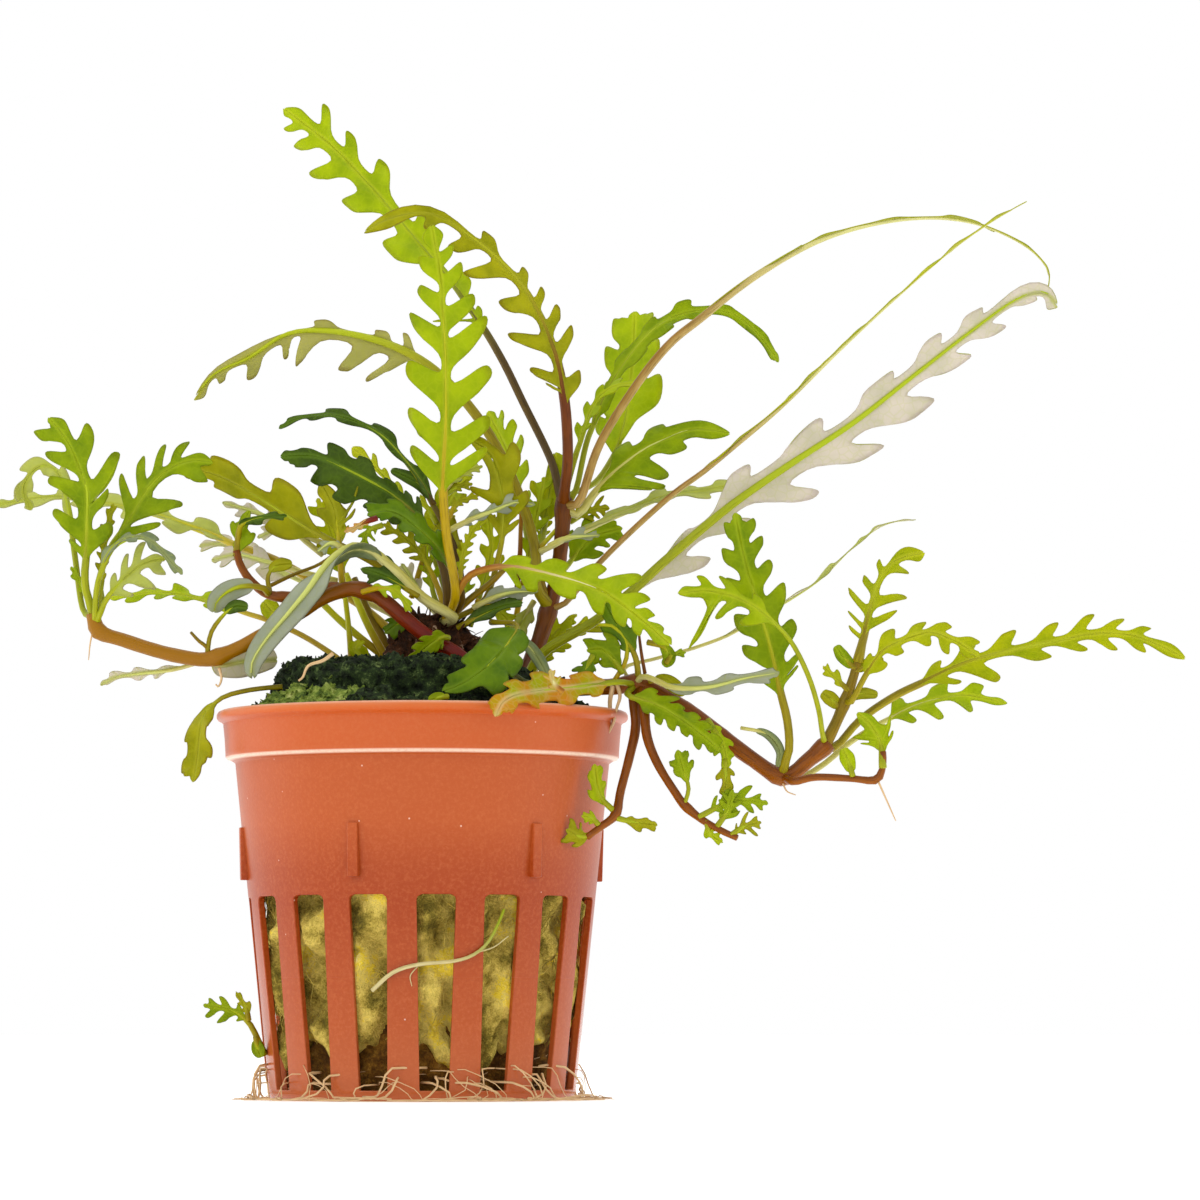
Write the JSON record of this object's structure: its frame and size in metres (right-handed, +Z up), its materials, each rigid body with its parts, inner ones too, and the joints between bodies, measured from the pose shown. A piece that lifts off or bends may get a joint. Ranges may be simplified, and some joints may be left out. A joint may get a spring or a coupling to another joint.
{
  "type": "potted hygrophila water plant",
  "caption": "Young water plant with lobed leaves on runners, rooted in a moss-topped rock wool plug in a slotted net pot.",
  "frame": {"origin": "middle of the pot's flat foot, on the surface that it stands on", "axes": "+Z up along the pot's axis, +X to the right as seen from the front, -Y towards the front"},
  "size_m": [0.171, 0.0652, 0.1439],
  "materials": {
    "leaf_vivid": "thin leaf, satin green",
    "leaf_bright": "thin leaf, satin, backlit yellow-green",
    "leaf_pale": "pale underside with yellow-green midrib",
    "woody_stem": "rough, brown, damp",
    "leaf_dark": "thin leaf, grey sheen over dark green",
    "leaf_olive": "thin leaf, satin, brown edges",
    "root": "smooth cream fibre",
    "green_stem": "smooth orange-brown skin",
    "red_stem": "smooth red-brown skin",
    "moss": "tufted, matte",
    "pot_plastic": "moulded, satin, faintly streaked",
    "rock_wool": "loose mineral fibre, damp"
  },
  "bodies": {
    "root": {"arch_leaf_right": "leaf_vivid", "back_leaf_bright": "leaf_bright", "back_leaf_left": "leaf_bright", "back_leaf_long": "leaf_pale", "back_leaf_low": "leaf_bright", "back_leaf_pale": "leaf_pale", "back_leaf_upright": "leaf_bright", "branch_leaf_curl": "leaf_pale", "broad_leaf_right": "leaf_pale", "crown": "woody_stem", "crown_leaf_arch": "leaf_dark", "crown_leaf_dark": "leaf_dark", "crown_leaf_mid": "leaf_olive", "crown_leaf_thin": "leaf_dark", "far_leaf_bright": "leaf_bright", "far_leaf_low": "leaf_vivid", "floor_root_front": "root", "floor_root_left": "root", "floor_root_right": "root", "folded_leaf_right": "leaf_vivid", "front_leaf_droop": "leaf_bright", "front_root": "root", "grey_leaf_right": "leaf_pale", "left_branch": "green_stem", "left_runner": "red_stem", "left_shoot_leaf_1": "leaf_vivid", "left_shoot_leaf_2": "leaf_vivid", "left_shoot_leaf_5": "leaf_pale", "lobed_leaf_left": "leaf_olive", "long_leaf_left": "leaf_pale", "long_leaf_right": "leaf_bright", "main_stem": "woody_stem", "moss": "moss", "node_leaf_upright": "leaf_olive", "pale_leaf_right": "leaf_pale", "pot": "pot_plastic", "right_leaf_droop": "leaf_vivid", "right_leaf_upright": "leaf_vivid", "right_runner": "green_stem", "right_runner_low": "green_stem", "rim_leaf_left": "leaf_olive", "rim_leaf_right": "leaf_olive", "rock_wool": "rock_wool", "root_mass": "root", "serrated_leaf": "leaf_dark", "shoot_leaf_side": "leaf_olive", "shoot_leaf_upright": "leaf_olive", "shoot_stem": "woody_stem", "side_stem": "green_stem", "slot_plantlet": "leaf_vivid", "spoon_leaf": "leaf_dark", "strap_leaf": "leaf_pale", "tall_leaf": "leaf_olive", "thin_leaf_low": "leaf_pale", "thin_leaf_right": "leaf_bright", "top_leaf_arch": "leaf_olive", "top_leaf_left": "leaf_bright", "trailing_stem_a": "green_stem", "trailing_stem_b": "green_stem", "wavy_leaf_right": "leaf_olive"}
  },
  "joints": []
}
